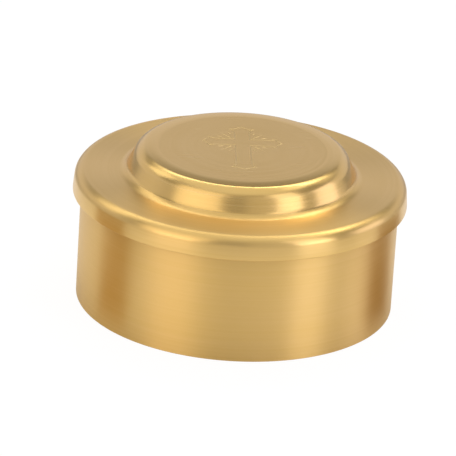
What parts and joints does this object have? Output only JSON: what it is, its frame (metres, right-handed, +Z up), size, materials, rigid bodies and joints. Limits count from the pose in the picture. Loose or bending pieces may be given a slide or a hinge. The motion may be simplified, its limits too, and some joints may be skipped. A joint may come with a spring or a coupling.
{
  "type": "host box",
  "caption": "Round, straight-sided host box with a lift-off raised lid, engraved with a plain Latin cross, in brushed gold-plated brass.",
  "frame": {"origin": "centre of the circle on which the wall's foot stands", "axes": "+Z up along the box's axis; the engraved cross's foot points to -Y and its arms lie along X"},
  "size_m": [0.115, 0.115, 0.0552],
  "materials": {
    "brushed_gold": "fine circular brushing under gold plate, satin gloss",
    "satin_gold": "plain satin under gold plate"
  },
  "bodies": {
    "box": {"body_wall": "brushed_gold", "base_plate": "satin_gold"},
    "lid": {"lid_shell": "brushed_gold", "lid_collar": "satin_gold"}
  },
  "joints": [
    {"name": "lid_lift", "type": "slide", "parent": "box", "child": "lid", "axis": [0, 0, 1], "range_m": [0, 0.06]}
  ]
}
